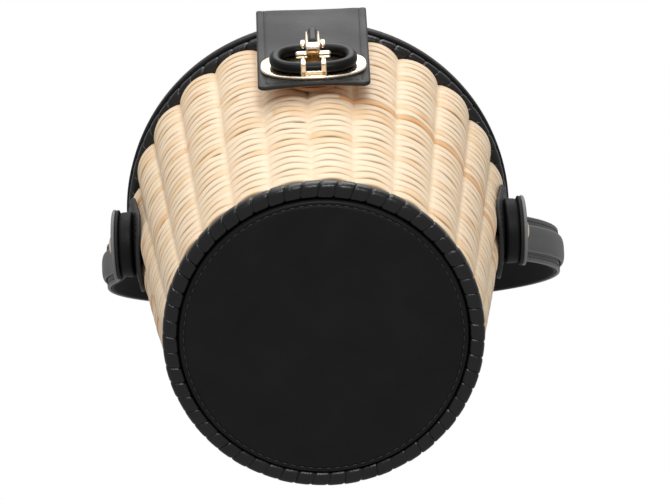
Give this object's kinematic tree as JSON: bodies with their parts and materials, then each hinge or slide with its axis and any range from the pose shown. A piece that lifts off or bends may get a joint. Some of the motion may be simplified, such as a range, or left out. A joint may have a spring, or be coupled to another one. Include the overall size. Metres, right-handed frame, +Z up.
{
  "type": "wicker bucket bag",
  "caption": "Small round bucket bag of fluted wicker with laced leather rims, a hinged leather lid held by a flap with a turning lock, and an arched strap handle.",
  "frame": {"origin": "middle of the leather disc that the bag stands on", "axes": "+Z up from the base to the lid, front with the flap and lock towards -Y, studs of the handle along X"},
  "size_m": [0.2384, 0.203, 0.3383],
  "materials": {
    "wicker": "woven rattan",
    "leather": "smooth black leather",
    "laced": "laced black leather",
    "tan": "tan leather",
    "gold": "polished pale gold",
    "steel": "plain steel",
    "enamel": "black gloss enamel",
    "board": "stiff board",
    "cloth": "cotton lining"
  },
  "bodies": {
    "basket": {"wicker_wall": "wicker", "woven_base": "wicker", "base_binding": "laced", "top_binding": "laced", "base_disc": "leather", "base_board": "board", "lining": "cloth", "catch_pad": "leather", "catch_magnet": "steel", "hinge_leaf_basket": "leather", "side_tab_right": "leather", "side_tab_left": "leather", "tab_washer_right": "leather", "tab_washer_left": "leather", "rivet_burr_right": "steel", "rivet_burr_left": "steel", "stud_right": "gold", "stud_left": "gold"},
    "lid": {"lid_edge": "leather", "lid_lining": "cloth", "lid_board": "board", "lid_cover": "leather", "flap_outer": "leather", "flap_lining": "tan", "lock_plate": "gold", "lock_ring": "enamel", "lock_clamp": "gold", "lock_backplate": "steel", "hinge_leaf_lid": "leather"},
    "toggle": {"toggle_spindle": "gold", "toggle_bar": "gold", "toggle_link": "gold", "toggle_tongue": "enamel"},
    "handle": {"handle_strap": "leather", "handle_lining": "leather", "handle_pad": "leather"}
  },
  "joints": [
    {"name": "lid_hinge", "type": "hinge", "parent": "basket", "child": "lid", "pos_m": [0, 0.09523, 0.1757], "axis": [-1, 0, 0], "range_deg": [0, 66]},
    {"name": "lock_turn", "type": "hinge", "parent": "lid", "child": "toggle", "pos_m": [0, -0.08087, 0.1075], "axis": [0, -0.9878, -0.1556], "range_deg": [0, 90]},
    {"name": "handle_swing", "type": "hinge", "parent": "basket", "child": "handle", "pos_m": [0, 0, 0.136], "axis": [1, 0, 0], "range_deg": [-90, 140]}
  ]
}
